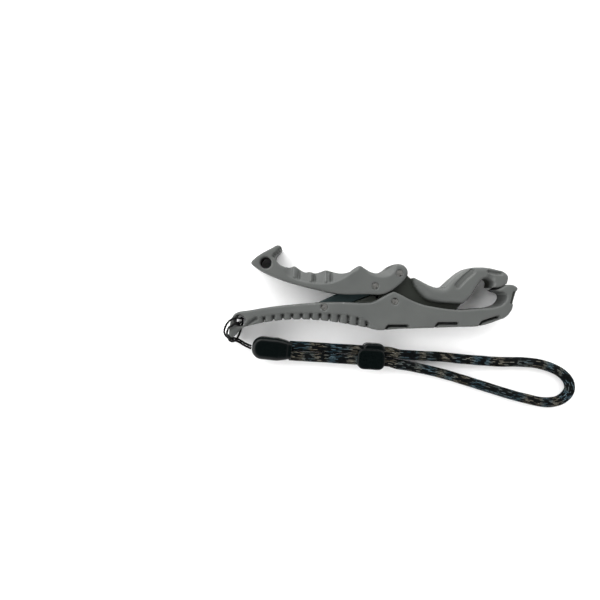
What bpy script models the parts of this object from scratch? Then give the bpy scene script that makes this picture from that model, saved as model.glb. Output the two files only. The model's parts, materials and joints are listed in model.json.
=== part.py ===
"""Fish lip gripper with a toggle-locked lever handle and a looped wrist lanyard.

The gripper lies on its side. +X runs from the handles to the jaws, +Y from the fixed
handle to the lever handle, and +Z is its thickness. The shapes are drawn in millimetres
from the jaw's pivot, and the frame's origin is under the middle of the gripper.
"""

import math

import bmesh
import bpy
from mathutils import Matrix, Vector

MM = 0.001

# Driving dimensions, in millimetres
THICK = 14.0  # the gripper's thickness
SLOT_WIDE = 6.0  # the slot that the tang and the link move in
TANG_THICK = 5.2  # the jaw's tang and the toggle link
EDGE_ROUND = 0.8  # the rounding of the mouldings' edges
GAP = 0.3  # the gap that touching pieces keep
OVERCUT = 1.0  # how far a cutter runs past the surface that it cuts
PIN_R = 1.5
PIN_WALL = 0.5
PIN_SLIT = 0.7
PIN_BELOW = 0.2  # the pins' ends lie below both faces
LANYARD_HOLE_R = 3.0

# The four pivots of the toggle linkage
JAW_PIVOT = (0.0, 0.0)  # upper jaw on the body
LINK_PIVOT = (-37.05, -2.98)  # toggle link on the body
KNEE = (-10.24, 8.10)  # toggle link on the lever
LEVER_PIVOT = (2.56, 14.79)  # lever on the upper jaw

BODY_HOLE = (-81.3, -10.2)
LEVER_HOLE = (-67.7, 20.3)

# The lanyard
STRAP_D = 5.1
STRAP_PITCH = 5.4  # between the two runs, side by side
STRAP_STATIONS = (GAP, 12.0, 24.0, 36.0, 46.0, 53.0)  # from the cap's face
STRAP_RINGS = 76
TETHER_D = 1.0
TETHER_RINGS = 79
CAP_SIZE = (21.4, 12.2, 9.4)
CAP_ROUND = 2.4
CAP_LEFT = (-75.6, -24.5)
CAP_TURN = math.radians(-6.0)
STRAP_TURN = math.radians(-3.6)
STRAP_Z = 4.7  # the middle of the cap and of the two runs in the slider
SLIDER_SIZE = (15.2, 14.4, 9.4)
SLIDER_CORNER_R = 3.4
SLIDER_ROUND = 1.4
SLIDER_AT = 44.0  # from the cap's face to the slider's middle

CORNER = True  # marks an outline's sharp points

BODY_OUTLINE = [
    (-83.6, -6.1), (-77.4, -4.9), (-68.9, -3.4), (-57.5, -2.0), (-47.1, -1.1),
    (-28.8, -0.4), (-14.4, -0.8), (-11.6, -0.4), (-6.8, 2.1), (-2.0, 4.6),
    (-0.6, 5.1), (1.0, 4.6), (8.7, 0.7), (14.7, -1.6), (20.7, -2.9), (27.4, -3.9),
    (33.7, -4.4), (44.4, -3.8), (54.2, -2.6), (57.2, -0.9), (58.9, 2.8), (57.7, 4.4),
    (55.3, 5.1), (53.2, 5.9, CORNER), (55.2, 6.7), (57.8, 8.5, CORNER), (60.4, 8.9),
    (62.9, 8.4), (64.7, 6.9, CORNER), (62.9, 1.3), (61.5, -4.4, CORNER), (58.6, -8.0),
    (53.5, -10.4), (49.5, -11.8), (44.5, -13.0), (36.5, -13.4), (23.5, -13.8),
    (2.6, -14.5), (-9.5, -15.0), (-14.2, -13.9), (-22.5, -12.4), (-30.9, -11.0),
    (-39.2, -10.0), (-49.7, -9.5), (-58.0, -9.8), (-66.5, -10.8), (-75.8, -12.6),
    (-81.1, -14.6), (-85.5, -19.2, CORNER), (-86.8, -17.8), (-86.7, -13.8),
    (-85.9, -9.6),
]

# The slot in the body: it is open at the top, and its floor steps down for the tang
BODY_SLOT = [
    (-41.6, 3.0, CORNER), (-41.6, -7.4, CORNER), (-33.5, -7.4, CORNER),
    (-33.0, -8.6, CORNER), (36.0, -8.6, CORNER), (36.0, 9.0, CORNER),
]

# The stop that the link's underside rests on when the toggle is locked
LINK_STOP = [
    (-32.0, -5.25, CORNER), (-10.6, 3.5, CORNER), (-9.2, 2.4, CORNER),
    (-9.2, -9.6, CORNER), (-32.0, -9.6, CORNER),
]

LEVER_OUTLINE = [
    (-75.4, 20.2), (-74.6, 21.7), (-63.9, 28.5), (-60.9, 29.6), (-59.3, 28.2),
    (-60.1, 26.2), (-62.5, 23.4), (-61.3, 20.4), (-58.9, 18.6), (-54.9, 17.9),
    (-52.7, 18.6), (-50.4, 17.2), (-47.0, 15.4), (-44.4, 15.6), (-41.8, 14.9),
    (-38.8, 15.6), (-36.1, 16.5), (-33.0, 15.8), (-27.8, 14.8), (-22.6, 16.1),
    (-20.2, 18.0), (-18.2, 18.8), (-15.8, 17.4), (-12.6, 15.6), (-8.9, 14.9),
    (-5.6, 16.3), (-2.6, 18.6), (1.6, 19.8), (5.4, 18.6), (7.1, 15.4), (6.4, 13.2),
    (-0.4, 6.6), (-3.2, 4.9), (-6.8, 3.7), (-14.0, 3.8), (-29.5, 3.9), (-39.2, 5.9),
    (-51.8, 9.0), (-61.4, 12.1), (-73.9, 18.4),
]

# The slot in the lever: it is open below, and at the right for the jaw's tang
LEVER_SLOT = [
    (-32.0, -2.0, CORNER), (-32.0, 8.4, CORNER), (-20.0, 13.1, CORNER),
    (-6.0, 13.1, CORNER), (-1.7, 14.4, CORNER), (-1.2, 16.6, CORNER),
    (0.8, 18.5, CORNER), (3.0, 18.6, CORNER), (4.8, 22.6, CORNER),
    (15.0, 22.6, CORNER), (15.0, -2.0, CORNER),
]

# The jaw's tang, between the body's walls and the lever's
TANG_OUTLINE = [
    (2.6, 18.1), (5.3, 16.6), (8.4, 12.9), (12.4, 10.0), (20.0, 6.8), (30.0, 8.0),
    (36.0, 4.0), (36.6, -0.4, CORNER), (33.6, -4.4), (31.0, -6.4), (22.0, -6.6),
    (10.0, -5.8), (0.0, -5.3), (-4.6, -3.2), (-7.7, 1.0), (-7.5, 4.4), (-3.6, 8.6), (-0.8, 14.6),
    (0.3, 17.2),
]

JAW_OUTLINE = [
    (9.6, 12.3), (12.4, 11.5), (16.3, 9.5), (20.6, 7.6), (26.0, 6.7, CORNER),
    (29.4, 10.2), (33.0, 13.4), (36.6, 16.1), (40.2, 17.7), (44.4, 18.0),
    (49.0, 17.8), (53.7, 16.8), (57.9, 15.5), (60.0, 12.9), (59.3, 9.5, CORNER),
    (55.3, 7.5), (51.4, 7.4, CORNER), (51.9, 9.8), (50.6, 11.4), (47.3, 12.0),
    (45.2, 10.6), (42.8, 7.3), (39.7, 2.4), (35.6, -1.5, CORNER), (28.7, -1.1),
    (21.5, -0.5), (16.6, 0.9), (12.6, 4.8), (10.0, 9.0),
]

CAP_OUTLINE = [
    (0.0, 0.0), (0.9, 3.2), (4.4, 5.8), (9.0, 6.1), (15.0, 6.0), (18.6, 5.6),
    (21.4, 4.6, CORNER), (21.4, -4.6, CORNER), (18.6, -5.6), (15.0, -6.0),
    (9.0, -6.1), (4.4, -5.8), (0.9, -3.2),
]

# Shallow notches in the body's lower and front edges: the feet and the top of each
EDGE_NOTCHES = [
    [(-6.4, -16.5), (-3.2, -12.1), (7.1, -12.1), (10.6, -16.5)],
    [(19.6, -15.5), (22.9, -10.8), (33.3, -10.8), (36.8, -15.5)],
    [(42.6, -14.6), (46.4, -9.9), (54.9, -7.2), (57.6, -11.4)],
    [(67.2, 5.9), (61.9, 5.3), (60.3, -1.2), (67.2, -2.4)],
]
NOTCH_DEEP = 1.6

GROOVES = 12
GROOVE_PITCH = 4.94
GROOVE_FROM = -68.7
GROOVE_WIDE = 1.0
GROOVE_DEEP = 0.7
BELLY = (-49.7, -9.45)  # the underside's highest point, where the grooves are upright
BELLY_CURVE = 0.0026  # the underside falls by this much times the square of the way from it

RELIEF = ((-96.0, -25.0), (-79.2, -8.6))  # the lanyard's room under the tail
RELIEF_DEEP = 1.8

# The pin at the knee travels in the link by this much as the toggle opens
KNEE_TRAVEL = 1.4
KNEE_SLOT_R = 2.1
LINK_R = 3.6
LINK_ROUND = 0.4
STOP_LAP = 0.4  # how far the stop's sides run into the slot's walls

# The route of the tether: up to the hole, through it, round the tail, and back
TETHER_ROUTE = [
    (-76.2, -25.5, 4.8), (-79.8, -24.1, 3.8), (-83.2, -22.2, 2.8), (-86.4, -21.0, 2.7),
    (-88.6, -19.9, 3.6), (-89.9, -18.3, 6.5), (-90.0, -15.8, 10.0), (-88.5, -12.5, 13.4),
    (-86.4, -10.1, 15.2), (-84.2, -8.9, 15.4), (-82.2, -8.6, 14.7), (-81.2, -8.9, 12.3),
    (-81.1, -9.0, 7.0), (-81.2, -9.5, 2.3), (-81.3, -11.4, 0.9), (-81.9, -13.9, 0.8),
    (-82.6, -16.6, 1.2), (-83.3, -18.7, 2.8), (-84.2, -20.4, 4.3), (-85.5, -21.5, 4.3),
    (-87.0, -21.9, 3.0), (-88.5, -21.3, 1.8), (-89.2, -19.9, 1.1), (-88.3, -17.8, 0.8),
    (-85.9, -15.0, 0.8), (-83.5, -12.8, 0.8), (-82.3, -11.5, 2.2), (-82.0, -11.3, 7.0),
    (-82.2, -11.2, 12.6), (-83.0, -11.4, 14.7), (-84.7, -12.3, 15.3), (-86.7, -13.6, 15.2),
    (-88.0, -15.8, 12.6), (-88.6, -17.8, 8.6), (-87.8, -19.3, 5.3), (-85.6, -20.0, 3.2),
    (-82.6, -21.2, 2.9), (-79.5, -22.9, 3.8), (-76.2, -24.2, 4.8),
]

# The strap's loop past the slider: the outward run, the bend and the return
LOOP_ROUTE = [
    (4.5, -28.8, 4.2), (15.0, -29.6, 2.8), (29.0, -30.5, 2.6), (43.0, -31.9, 2.6),
    (58.0, -33.0, 2.6), (71.0, -33.2, 2.6), (82.0, -34.4, 2.6), (91.2, -37.9, 2.6),
    (97.1, -43.3, 2.6), (97.5, -49.4, 2.6), (92.2, -54.1, 2.6), (84.0, -55.2, 2.6),
    (73.0, -53.0, 2.6), (57.0, -48.4, 2.6), (40.0, -43.0, 2.6), (23.0, -38.2, 2.6),
    (9.5, -35.4, 3.0), (2.5, -34.1, 4.0),
]


def clear_scene():
    for old in list(bpy.data.objects):
        bpy.data.objects.remove(old)
    for old in list(bpy.data.collections):
        bpy.data.collections.remove(old)


def collection(name):
    made = bpy.data.collections.new(name)
    bpy.context.scene.collection.children.link(made)
    return made


def plastic(name, colour, roughness, metallic=0.0):
    made = bpy.data.materials.new(name)
    made.use_nodes = True
    shader = made.node_tree.nodes["Principled BSDF"]
    shader.inputs["Base Color"].default_value = (*colour, 1.0)
    shader.inputs["Roughness"].default_value = roughness
    shader.inputs["Metallic"].default_value = metallic
    return made


def mesh_of(curve_object, name):
    """The curve object's surface as a welded mesh, in place of the curve."""
    bpy.context.view_layer.update()
    evaluated = curve_object.evaluated_get(bpy.context.evaluated_depsgraph_get())
    mesh = bpy.data.meshes.new_from_object(evaluated)
    made = bmesh.new()
    made.from_mesh(mesh)
    bmesh.ops.remove_doubles(made, verts=made.verts, dist=0.002 * MM)
    bmesh.ops.dissolve_limit(
        made, angle_limit=math.radians(0.5), verts=made.verts, edges=made.edges
    )
    bmesh.ops.recalc_face_normals(made, faces=made.faces)
    made.to_mesh(mesh)
    made.free()
    solid = bpy.data.objects.new(name, mesh)
    solid.matrix_world = curve_object.matrix_world
    curve = curve_object.data
    bpy.data.objects.remove(curve_object)
    bpy.data.curves.remove(curve)
    return solid


def plate(name, outline, low, high, rounding=0.0, steps=4, into=None):
    """A solid with this outline between two heights. Its points are smooth or CORNER."""
    curve = bpy.data.curves.new(name, "CURVE")
    curve.dimensions = "2D"
    curve.fill_mode = "BOTH"
    curve.resolution_u = steps
    curve.extrude = ((high - low) / 2 - rounding) * MM
    curve.bevel_depth = rounding * MM
    curve.offset = -rounding * MM
    curve.bevel_resolution = 1
    spline = curve.splines.new("BEZIER")
    spline.bezier_points.add(len(outline) - 1)
    spline.use_cyclic_u = True
    for point, (x, y, *corner) in zip(spline.bezier_points, outline):
        point.co = (x * MM, y * MM, 0.0)
        kind = "VECTOR" if corner else "AUTO"
        point.handle_left_type = kind
        point.handle_right_type = kind
    drawn = bpy.data.objects.new(name + "_outline", curve)
    drawn.location.z = (low + high) / 2 * MM
    bpy.context.scene.collection.objects.link(drawn)
    solid = mesh_of(drawn, name)
    (into or PARTS).objects.link(solid)
    return solid


def round_bar(name, centre, radius, low, high, sides=28, into=None):
    """An upright cylinder."""
    made = bmesh.new()
    bmesh.ops.create_cone(
        made, cap_ends=True, segments=sides, radius1=radius * MM, radius2=radius * MM,
        depth=(high - low) * MM,
    )
    place = Matrix.Translation(Vector((*centre, (low + high) / 2)) * MM)
    bmesh.ops.transform(made, matrix=place, verts=made.verts)
    mesh = bpy.data.meshes.new(name)
    made.to_mesh(mesh)
    made.free()
    solid = bpy.data.objects.new(name, mesh)
    (into or PARTS).objects.link(solid)
    return solid


def bars_along(name, places, size, into=None):
    """Boxes of one size, each at (x, y, z, turn about Z), as one object."""
    made = bmesh.new()
    for x, y, z, turn in places:
        place = (
            Matrix.Translation(Vector((x, y, z)) * MM)
            @ Matrix.Rotation(turn, 4, "Z")
            @ Matrix.Diagonal((*(side * MM for side in size), 1.0))
        )
        bmesh.ops.create_cube(made, size=1.0, matrix=place)
    mesh = bpy.data.meshes.new(name)
    made.to_mesh(mesh)
    made.free()
    solid = bpy.data.objects.new(name, mesh)
    (into or PARTS).objects.link(solid)
    return solid


def hide_cutter(cutter):
    cutter.hide_render = True
    cutter.display_type = "WIRE"


def boolean(target, tool, operation):
    step = target.modifiers.new(tool.name, "BOOLEAN")
    step.operation = operation
    step.solver = "EXACT"
    step.object = tool
    hide_cutter(tool)


def finish(piece, material, parent=None):
    """Gives the piece its material, and hangs it on its joint's empty."""
    piece.data.materials.clear()
    piece.data.materials.append(material)
    if piece.type == "MESH":
        piece.data.shade_smooth()
        piece.data.set_sharp_from_angle(angle=math.radians(35))
    hang(piece, parent or GRIPPER)


def hang(piece, parent):
    """Parents a piece to an empty, and leaves it where it is drawn."""
    piece.parent = parent
    away = Vector()
    while parent is not None and parent is not GRIPPER:
        away -= parent.location
        parent = parent.parent
    piece.location += away


def pivot(name, at, parent=None):
    """An empty on a joint's axis."""
    empty = bpy.data.objects.new(name, None)
    empty.empty_display_size = 5 * MM
    PARTS.objects.link(empty)
    empty.location = Vector((*at, 0.0)) * MM
    if parent is not None:
        hang(empty, parent)
    return empty


def holes(target, centres, parent, radius=PIN_R + GAP):
    """Round holes through the full thickness."""
    for number, centre in enumerate(centres):
        name = f"{target.name}_hole_{radius}_{number}"
        cutter = round_bar(name, centre, radius, -OVERCUT, THICK + OVERCUT, into=CUTTERS)
        boolean(target, cutter, "DIFFERENCE")
        hang(cutter, parent)


def slot_cutter(target, outline, parent):
    low = (THICK - SLOT_WIDE) / 2
    cutter = plate(target.name + "_slot", outline, low, THICK - low, steps=1, into=CUTTERS)
    boolean(target, cutter, "DIFFERENCE")
    hang(cutter, parent)


def edge_notches(target, parent):
    """Cuts each notch into both faces."""
    for number, corners in enumerate(EDGE_NOTCHES):
        outline = [(x, y, CORNER) for x, y in corners]
        for side, low in (("far", -OVERCUT), ("near", THICK - NOTCH_DEEP)):
            name = f"{side}_notch_{number}"
            high = low + OVERCUT + NOTCH_DEEP
            cutter = plate(name, outline, low, high, steps=1, into=CUTTERS)
            boolean(target, cutter, "DIFFERENCE")
            hang(cutter, parent)


def grip_grooves(target, parent):
    """Twelve grooves across the underside of the fixed handle."""
    places = []
    for number in range(GROOVES):
        x = GROOVE_FROM + GROOVE_PITCH * number
        away = x - BELLY[0]
        y = BELLY[1] - BELLY_CURVE * away**2
        slope = math.atan(-2 * BELLY_CURVE * away)
        places.append((x, y, THICK / 2, slope))
    size = (GROOVE_WIDE, 2 * GROOVE_DEEP, THICK + 2 * OVERCUT)
    cutter = bars_along("grip_grooves", places, size, into=CUTTERS)
    boolean(target, cutter, "DIFFERENCE")
    hang(cutter, parent)


def tail_relief(target, parent):
    """Thins the tail's far side, so that the tether passes under it."""
    (x0, y0), (x1, y1) = RELIEF
    size = (x1 - x0, y1 - y0, 2 * RELIEF_DEEP)
    middle = ((x0 + x1) / 2, (y0 + y1) / 2, 0.0, 0.0)
    cutter = bars_along("tail_relief", [middle], size, into=CUTTERS)
    boolean(target, cutter, "DIFFERENCE")
    hang(cutter, parent)


def make_body():
    body = plate("fixed_handle_and_jaw", BODY_OUTLINE, 0.0, THICK, EDGE_ROUND)
    slot_cutter(body, BODY_SLOT, GRIPPER)
    half = SLOT_WIDE / 2 + STOP_LAP
    stop = plate(
        "link_stop", LINK_STOP, THICK / 2 - half, THICK / 2 + half, steps=1, into=CUTTERS
    )
    boolean(body, stop, "UNION")
    hang(stop, GRIPPER)
    holes(body, [JAW_PIVOT, LINK_PIVOT], GRIPPER)
    holes(body, [BODY_HOLE], GRIPPER, LANYARD_HOLE_R)
    edge_notches(body, GRIPPER)
    grip_grooves(body, GRIPPER)
    tail_relief(body, GRIPPER)
    finish(body, MOULDED_GREY)


def make_lever(parent):
    lever = plate("lever_handle", LEVER_OUTLINE, 0.0, THICK, EDGE_ROUND)
    slot_cutter(lever, LEVER_SLOT, parent)
    holes(lever, [KNEE, LEVER_PIVOT], parent)
    holes(lever, [LEVER_HOLE], parent, LANYARD_HOLE_R)
    finish(lever, MOULDED_GREY, parent)


def make_jaw(parent):
    jaw = plate("upper_jaw", JAW_OUTLINE, 0.0, THICK, EDGE_ROUND)
    low = (THICK - TANG_THICK) / 2
    tang = plate("tang", TANG_OUTLINE, low, THICK - low, into=CUTTERS)
    boolean(jaw, tang, "UNION")
    hang(tang, parent)
    holes(jaw, [JAW_PIVOT, LEVER_PIVOT], parent)
    finish(jaw, MOULDED_GREY, parent)


def stadium(start, end, radius, sides=10):
    """A slot's outline round two centres, from corner points on its two arcs."""
    along = math.atan2(end[1] - start[1], end[0] - start[0])
    points = []
    for centre, turn in ((end, -math.pi / 2), (start, math.pi / 2)):
        for step in range(sides + 1):
            angle = along + turn + math.pi * step / sides
            x = centre[0] + radius * math.cos(angle)
            y = centre[1] + radius * math.sin(angle)
            points.append((x, y, CORNER))
    return points


def make_link(parent):
    low = (THICK - TANG_THICK) / 2
    link = plate(
        "toggle_link", stadium(LINK_PIVOT, KNEE, LINK_R), low, THICK - low, LINK_ROUND, steps=1
    )
    holes(link, [LINK_PIVOT], parent)
    reach = math.dist(LINK_PIVOT, KNEE)
    back = [k + (b - k) * KNEE_TRAVEL / reach for k, b in zip(KNEE, LINK_PIVOT)]
    cutter = plate(
        "knee_slot", stadium(back, KNEE, KNEE_SLOT_R), -OVERCUT, THICK + OVERCUT,
        steps=1, into=CUTTERS,
    )
    boolean(link, cutter, "DIFFERENCE")
    hang(cutter, parent)
    finish(link, DARK_NYLON, parent)


def make_pin(name, centre, slit_turn, parent):
    """A rolled spring pin: a tube with a slit along it, just below both faces."""
    half_slit = math.asin(PIN_SLIT / 2 / PIN_R)
    sides = 20
    sweep = [
        slit_turn + half_slit + (2 * math.pi - 2 * half_slit) * step / sides
        for step in range(sides + 1)
    ]
    outer = [(PIN_R, angle) for angle in sweep]
    inner = [(PIN_R - PIN_WALL, angle) for angle in reversed(sweep)]
    outline = [
        (centre[0] + r * math.cos(a), centre[1] + r * math.sin(a), CORNER)
        for r, a in outer + inner
    ]
    pin = plate(name, outline, PIN_BELOW, THICK - PIN_BELOW, steps=1)
    finish(pin, STAINLESS, parent)


def make_cap():
    half = CAP_SIZE[2] / 2
    cap = plate("cord_end_cap", CAP_OUTLINE, -half, half, CAP_ROUND)
    place = Matrix.Translation(Vector((*CAP_LEFT, STRAP_Z)) * MM)
    cap.data.transform(place @ Matrix.Rotation(CAP_TURN, 4, "Z"))
    cap.location = (0.0, 0.0, 0.0)
    finish(cap, BLACK_PLASTIC)


def cap_face():
    """The middle of the cap's face that the strap leaves."""
    return (
        CAP_LEFT[0] + CAP_SIZE[0] * math.cos(CAP_TURN),
        CAP_LEFT[1] + CAP_SIZE[0] * math.sin(CAP_TURN),
    )


def strap_point(along, across):
    """A point of the doubled strap, from the cap's face, at the strap's middle height."""
    face = cap_face()
    return (
        face[0] + along * math.cos(STRAP_TURN) - across * math.sin(STRAP_TURN),
        face[1] + along * math.sin(STRAP_TURN) + across * math.cos(STRAP_TURN),
        STRAP_Z,
    )


def rounded_box(long, wide, radius, sides=4):
    """A box's outline with round corners, from corner points on their arcs."""
    points = []
    for quarter, (x, y) in enumerate(((1, 1), (-1, 1), (-1, -1), (1, -1))):
        for step in range(sides + 1):
            angle = (quarter + step / sides) * math.pi / 2
            reach_x = x * (long / 2 - radius) + radius * math.cos(angle)
            reach_y = y * (wide / 2 - radius) + radius * math.sin(angle)
            points.append((reach_x, reach_y, CORNER))
    return points


def make_slider(parent):
    long, wide, high = SLIDER_SIZE
    outline = rounded_box(long, wide, SLIDER_CORNER_R)
    slider = plate("strap_slider", outline, -high / 2, high / 2, SLIDER_ROUND, steps=1)
    side = STRAP_PITCH / 2
    bore = plate(
        "slider_bore", stadium((-side, 0.0), (side, 0.0), STRAP_D / 2 + GAP),
        -long, long, steps=1, into=CUTTERS,
    )
    turn = Matrix.Rotation(math.pi / 2, 4, "Z") @ Matrix.Rotation(math.pi / 2, 4, "X")
    bore.data.transform(turn)
    middle = Vector(strap_point(SLIDER_AT, 0.0)) * MM
    place = Matrix.Translation(middle) @ Matrix.Rotation(STRAP_TURN, 4, "Z")
    for piece in (slider, bore):
        piece.data.transform(place)
        piece.location = (0.0, 0.0, 0.0)
    boolean(slider, bore, "DIFFERENCE")
    hang(bore, parent)
    finish(slider, BLACK_PLASTIC, parent)


def smooth_route(route, count):
    """Evenly spaced points on a Catmull-Rom curve through the route's points."""
    known = [Vector(p) for p in route]
    known = [2 * known[0] - known[1], *known, 2 * known[-1] - known[-2]]
    fine = []
    for a, b, c, d in zip(known, known[1:], known[2:], known[3:]):
        for step in range(12):
            t = step / 12
            fine.append(
                b
                + (c - a) * (t / 2)
                + (2 * a - 5 * b + 4 * c - d) * (t**2 / 2)
                + (3 * b - a - 3 * c + d) * (t**3 / 2)
            )
    fine.append(known[-2])
    reach = [0.0]
    for a, b in zip(fine, fine[1:]):
        reach.append(reach[-1] + (b - a).length)
    points = []
    at = 0
    for number in range(count):
        wanted = reach[-1] * number / (count - 1)
        while at < len(reach) - 2 and reach[at + 1] < wanted:
            at += 1
        share = (wanted - reach[at]) / (reach[at + 1] - reach[at])
        points.append(fine[at].lerp(fine[at + 1], share))
    return points


def cord(name, route, diameter, count, material):
    curve = bpy.data.curves.new(name, "CURVE")
    curve.dimensions = "3D"
    curve.bevel_depth = diameter / 2 * MM
    curve.bevel_resolution = 2
    curve.use_fill_caps = True
    points = smooth_route(route, count)
    spline = curve.splines.new("POLY")
    spline.points.add(len(points) - 1)
    for point, place in zip(spline.points, points):
        point.co = (*(place * MM), 1.0)
    drawn = bpy.data.objects.new(name, curve)
    PARTS.objects.link(drawn)
    finish(drawn, material)


def strap_route():
    side = STRAP_PITCH / 2
    out = [strap_point(along, side) for along in STRAP_STATIONS]
    back = [strap_point(along, -side) for along in reversed(STRAP_STATIONS)]
    return [*out, *LOOP_ROUTE, *back]


def settle_origin():
    """Moves the whole part so that the frame's origin is under the gripper's middle."""
    bpy.context.view_layer.update()
    graph = bpy.context.evaluated_depsgraph_get()
    corners = []
    for piece in PARTS.objects:
        if piece.type == "MESH" and piece.name not in ("cord_end_cap", "strap_slider"):
            shown = piece.evaluated_get(graph)
            corners += [shown.matrix_world @ Vector(c) for c in shown.bound_box]
    low = [min(c[axis] for c in corners) for axis in (0, 1)]
    high = [max(c[axis] for c in corners) for axis in (0, 1)]
    GRIPPER.location = (-(low[0] + high[0]) / 2, -(low[1] + high[1]) / 2, 0.0)
    bpy.context.view_layer.update()
    for empty in (o for o in PARTS.objects if o.type == "EMPTY"):
        print(empty.name, [round(v, 6) for v in empty.matrix_world.translation])


clear_scene()
PARTS = collection("lip_gripper")
CUTTERS = collection("cutters")
MOULDED_GREY = plastic("moulded_grey_nylon", (0.127, 0.133, 0.127), 0.55)
DARK_NYLON = plastic("dark_green_nylon", (0.013, 0.027, 0.027), 0.45)
STAINLESS = plastic("stainless_spring_pin", (0.55, 0.54, 0.52), 0.3, metallic=1.0)
BLACK_PLASTIC = plastic("black_moulded_plastic", (0.004, 0.005, 0.005), 0.4)
TETHER_BLACK = plastic("black_twine", (0.006, 0.006, 0.006), 0.8)
PARACORD = plastic("dark_paracord", (0.012, 0.018, 0.02), 0.85)

GRIPPER = bpy.data.objects.new("gripper_frame", None)
PARTS.objects.link(GRIPPER)
jaw_axis = pivot("jaw_axis", JAW_PIVOT, GRIPPER)
lever_axis = pivot("lever_axis", LEVER_PIVOT, jaw_axis)
link_axis = pivot("link_axis", LINK_PIVOT, GRIPPER)
slider_axis = pivot("slider_axis", strap_point(SLIDER_AT, 0.0)[:2], GRIPPER)

make_body()
make_lever(lever_axis)
make_jaw(jaw_axis)
make_link(link_axis)
make_pin("jaw_pivot_pin", JAW_PIVOT, math.radians(100), GRIPPER)
make_pin("link_body_pin", LINK_PIVOT, math.radians(170), GRIPPER)
make_pin("link_lever_pin", KNEE, math.radians(-40), lever_axis)
make_pin("lever_pivot_pin", LEVER_PIVOT, math.radians(-60), jaw_axis)
make_cap()
make_slider(slider_axis)
cord("tether_cord", TETHER_ROUTE, TETHER_D, TETHER_RINGS, TETHER_BLACK)
cord("strap_cord", strap_route(), STRAP_D, STRAP_RINGS, PARACORD)
settle_origin()
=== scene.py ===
# %% [markdown]
# # A lip gripper and its lanyard, dressed round a fixed frame
# The gripper is three grey nylon mouldings on four steel spring pins. A dark link locks
# them like a knee joint. A thin tether holds a paracord wrist loop to the tail.
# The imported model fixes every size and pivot. This script only adds the surfaces that
# the hand and the eye meet. It draws in millimetres from the jaw's pivot, as a maker
# would measure from one pin, and turns them into the frame's metres in one function.

# %% Frame and units
import json
import math
import bmesh
import bpy
import numpy as np
from mathutils import Matrix, Vector


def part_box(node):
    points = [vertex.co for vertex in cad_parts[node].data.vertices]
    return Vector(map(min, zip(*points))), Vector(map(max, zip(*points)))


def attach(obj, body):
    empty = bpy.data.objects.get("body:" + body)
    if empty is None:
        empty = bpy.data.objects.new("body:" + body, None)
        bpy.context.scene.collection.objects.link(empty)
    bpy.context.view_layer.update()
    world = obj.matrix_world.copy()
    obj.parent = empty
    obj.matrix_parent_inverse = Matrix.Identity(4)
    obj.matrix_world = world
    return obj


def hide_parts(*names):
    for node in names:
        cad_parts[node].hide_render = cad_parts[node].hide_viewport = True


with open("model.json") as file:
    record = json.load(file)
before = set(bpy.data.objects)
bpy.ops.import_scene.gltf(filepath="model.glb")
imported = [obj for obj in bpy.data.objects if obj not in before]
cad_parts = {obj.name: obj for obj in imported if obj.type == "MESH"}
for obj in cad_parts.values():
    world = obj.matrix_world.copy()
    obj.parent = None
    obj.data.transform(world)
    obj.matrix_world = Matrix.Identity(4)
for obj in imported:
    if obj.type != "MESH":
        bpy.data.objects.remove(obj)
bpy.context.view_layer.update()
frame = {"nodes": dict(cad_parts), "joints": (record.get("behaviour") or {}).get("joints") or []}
MM = 0.001
JOINTS = {joint["name"]: joint for joint in frame["joints"]}
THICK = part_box("lever_handle")[1].z / MM
MIDDLE = THICK / 2


def from_jaw_pin(x, y, z=0.0):
    """A place in the frame, from millimetres off the jaw's pivot and above the table."""
    pin = JOINTS["jaw_pivot"]["pos_m"]
    return Vector((pin[0] + x * MM, pin[1] + y * MM, z * MM))


print("thickness", round(THICK, 2), "mm; jaw pin at", tuple(from_jaw_pin(0, 0)))

# %% [markdown]
# ## The camera
# The gripper lies on a table and the camera looks straight down from close by, so the
# walls of the far jaw and of the tail show on the sides that face the middle. A long
# lens from far off would hide them. A short lens at a quarter of a metre shows them.

# %% Camera
CAMERA_AT = (-49.7, 0.75, 253.0)
LENS = 27.42

camera = bpy.data.objects.new("camera", bpy.data.cameras.new("camera"))
camera.data.lens = LENS
camera.data.clip_start = 0.01
camera.location = from_jaw_pin(*CAMERA_AT)
bpy.context.scene.collection.objects.link(camera)
bpy.context.scene.camera = camera
print("camera at", tuple(round(v, 4) for v in camera.location))

# %% [markdown]
# ## The cords' routes
# The lanyard is one length of 5 mm paracord, folded into a loop and gripped by a cap,
# and a thin twine, hitched round the tail. A cord could be simulated, but here each lies
# where it fell, so its route is a short list of places on one smooth curve. The twine
# goes up over the edge, down the hole and round under the tail, and back the same way.

# %% Routes
STRAP_D = 5.1
STRAP_PITCH = 5.4
STRAP_Z = 4.7
STRAP_TURN = math.radians(-3.6)
STRAP_STEP = 0.5
STRAIGHT_RUN = (-1.2, 12.0, 24.0, 36.0, 46.0, 53.0)
CAP_LEFT = (-75.6, -24.5)
CAP_LONG = 21.4
CAP_TURN = math.radians(-6.0)
TETHER_D = 1.0
TETHER_STEP = 0.2
CURVE_STEPS = 24

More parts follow.
